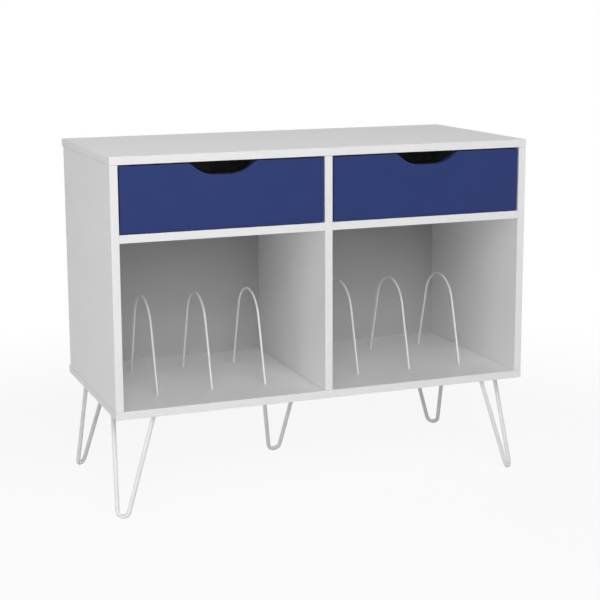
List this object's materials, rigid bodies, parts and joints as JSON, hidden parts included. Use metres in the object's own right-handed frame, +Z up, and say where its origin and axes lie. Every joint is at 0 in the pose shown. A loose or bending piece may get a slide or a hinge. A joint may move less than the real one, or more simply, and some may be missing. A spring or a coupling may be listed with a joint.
{
  "type": "turntable stand",
  "caption": "Low white cabinet with open record bays, an inset blue drawer above each bay, wire record dividers and white hairpin legs.",
  "frame": {"origin": "on the floor, under the centre of the top panel", "axes": "+Z up, +X to the right as seen from the front, drawers open towards -Y"},
  "size_m": [1, 0.465, 0.808],
  "materials": {
    "white_laminate": "satin melamine over chipboard",
    "white_backboard": "painted hardboard",
    "blue_laminate": "satin painted or laminated board",
    "drawer_board": "white foil-wrapped board",
    "white_wire": "powder-coated steel wire",
    "white_rod": "powder-coated steel rod and plate",
    "slide_steel": "epoxy-coated steel strip",
    "white_nylon": "moulded nylon",
    "zinc_screws": "bright zinc plate",
    "cam_metal": "die-cast zinc alloy",
    "beech": "bare beech"
  },
  "bodies": {
    "cabinet": {"top_panel": "white_laminate", "bottom_panel": "white_laminate", "left_side_panel": "white_laminate", "right_side_panel": "white_laminate", "centre_divider": "white_laminate", "left_shelf": "white_laminate", "right_shelf": "white_laminate", "back_panel": "white_backboard", "left_bay_record_divider_1": "white_wire", "left_bay_record_divider_2": "white_wire", "left_bay_record_divider_3": "white_wire", "right_bay_record_divider_1": "white_wire", "right_bay_record_divider_2": "white_wire", "right_bay_record_divider_3": "white_wire", "front_left_leg": "white_rod", "front_right_leg": "white_rod", "back_left_leg": "white_rod", "back_right_leg": "white_rod", "back_middle_leg": "white_rod", "leg_screws": "zinc_screws", "cam_bolts": "zinc_screws", "cam_locks": "cam_metal", "panel_dowels": "beech", "panel_screws": "zinc_screws", "back_panel_nails": "zinc_screws", "cabinet_rail_screws": "zinc_screws", "cabinet_roller_pins": "zinc_screws", "left_bay_left_cabinet_rail": "slide_steel", "left_bay_right_cabinet_rail": "slide_steel", "right_bay_left_cabinet_rail": "slide_steel", "right_bay_right_cabinet_rail": "slide_steel"},
    "left_drawer": {"left_drawer_front": "blue_laminate", "left_drawer_left_side": "drawer_board", "left_drawer_right_side": "drawer_board", "left_drawer_back": "drawer_board", "left_drawer_bottom": "drawer_board", "left_drawer_dowels": "beech", "left_drawer_rail_screws": "zinc_screws", "left_drawer_roller_pins": "zinc_screws", "left_bay_left_drawer_rail": "slide_steel", "left_bay_right_drawer_rail": "slide_steel"},
    "right_drawer": {"right_drawer_front": "blue_laminate", "right_drawer_left_side": "drawer_board", "right_drawer_right_side": "drawer_board", "right_drawer_back": "drawer_board", "right_drawer_bottom": "drawer_board", "right_drawer_dowels": "beech", "right_drawer_rail_screws": "zinc_screws", "right_drawer_roller_pins": "zinc_screws", "right_bay_left_drawer_rail": "slide_steel", "right_bay_right_drawer_rail": "slide_steel"},
    "left_bay_left_front_roller": {"left_bay_left_front_roller": "white_nylon"},
    "left_bay_left_rear_roller": {"left_bay_left_rear_roller": "white_nylon"},
    "left_bay_right_front_roller": {"left_bay_right_front_roller": "white_nylon"},
    "left_bay_right_rear_roller": {"left_bay_right_rear_roller": "white_nylon"},
    "right_bay_left_front_roller": {"right_bay_left_front_roller": "white_nylon"},
    "right_bay_left_rear_roller": {"right_bay_left_rear_roller": "white_nylon"},
    "right_bay_right_front_roller": {"right_bay_right_front_roller": "white_nylon"},
    "right_bay_right_rear_roller": {"right_bay_right_rear_roller": "white_nylon"}
  },
  "joints": [
    {"name": "left_drawer_slide", "type": "slide", "parent": "cabinet", "child": "left_drawer", "axis": [0, -1, 0], "range_m": [0, 0.3]},
    {"name": "right_drawer_slide", "type": "slide", "parent": "cabinet", "child": "right_drawer", "axis": [0, -1, 0], "range_m": [0, 0.3]},
    {"name": "left_bay_left_front_roller_spin", "type": "hinge", "parent": "cabinet", "child": "left_bay_left_front_roller", "pos_m": [-0.4766, -0.1995, 0.6606], "axis": [1, 0, 0], "range_deg": [0, 2025]},
    {"name": "left_bay_left_rear_roller_spin", "type": "hinge", "parent": "left_drawer", "child": "left_bay_left_rear_roller", "pos_m": [-0.4749, 0.1755, 0.658], "axis": [1, 0, 0], "range_deg": [0, 2025]},
    {"name": "left_bay_right_front_roller_spin", "type": "hinge", "parent": "cabinet", "child": "left_bay_right_front_roller", "pos_m": [-0.0144, -0.1995, 0.6606], "axis": [1, 0, 0], "range_deg": [0, 2025]},
    {"name": "left_bay_right_rear_roller_spin", "type": "hinge", "parent": "left_drawer", "child": "left_bay_right_rear_roller", "pos_m": [-0.0161, 0.1755, 0.658], "axis": [1, 0, 0], "range_deg": [0, 2025]},
    {"name": "right_bay_left_front_roller_spin", "type": "hinge", "parent": "cabinet", "child": "right_bay_left_front_roller", "pos_m": [0.0144, -0.1995, 0.6606], "axis": [1, 0, 0], "range_deg": [0, 2025]},
    {"name": "right_bay_left_rear_roller_spin", "type": "hinge", "parent": "right_drawer", "child": "right_bay_left_rear_roller", "pos_m": [0.0161, 0.1755, 0.658], "axis": [1, 0, 0], "range_deg": [0, 2025]},
    {"name": "right_bay_right_front_roller_spin", "type": "hinge", "parent": "cabinet", "child": "right_bay_right_front_roller", "pos_m": [0.4766, -0.1995, 0.6606], "axis": [1, 0, 0], "range_deg": [0, 2025]},
    {"name": "right_bay_right_rear_roller_spin", "type": "hinge", "parent": "right_drawer", "child": "right_bay_right_rear_roller", "pos_m": [0.4749, 0.1755, 0.658], "axis": [1, 0, 0], "range_deg": [0, 2025]}
  ],
  "couplings": [
    {"joint": "left_bay_left_front_roller_spin", "follows": "left_drawer_slide", "rad_per_m": 117.65},
    {"joint": "left_bay_left_rear_roller_spin", "follows": "left_drawer_slide", "rad_per_m": 117.65},
    {"joint": "left_bay_right_front_roller_spin", "follows": "left_drawer_slide", "rad_per_m": 117.65},
    {"joint": "left_bay_right_rear_roller_spin", "follows": "left_drawer_slide", "rad_per_m": 117.65},
    {"joint": "right_bay_left_front_roller_spin", "follows": "right_drawer_slide", "rad_per_m": 117.65},
    {"joint": "right_bay_left_rear_roller_spin", "follows": "right_drawer_slide", "rad_per_m": 117.65},
    {"joint": "right_bay_right_front_roller_spin", "follows": "right_drawer_slide", "rad_per_m": 117.65},
    {"joint": "right_bay_right_rear_roller_spin", "follows": "right_drawer_slide", "rad_per_m": 117.65}
  ]
}
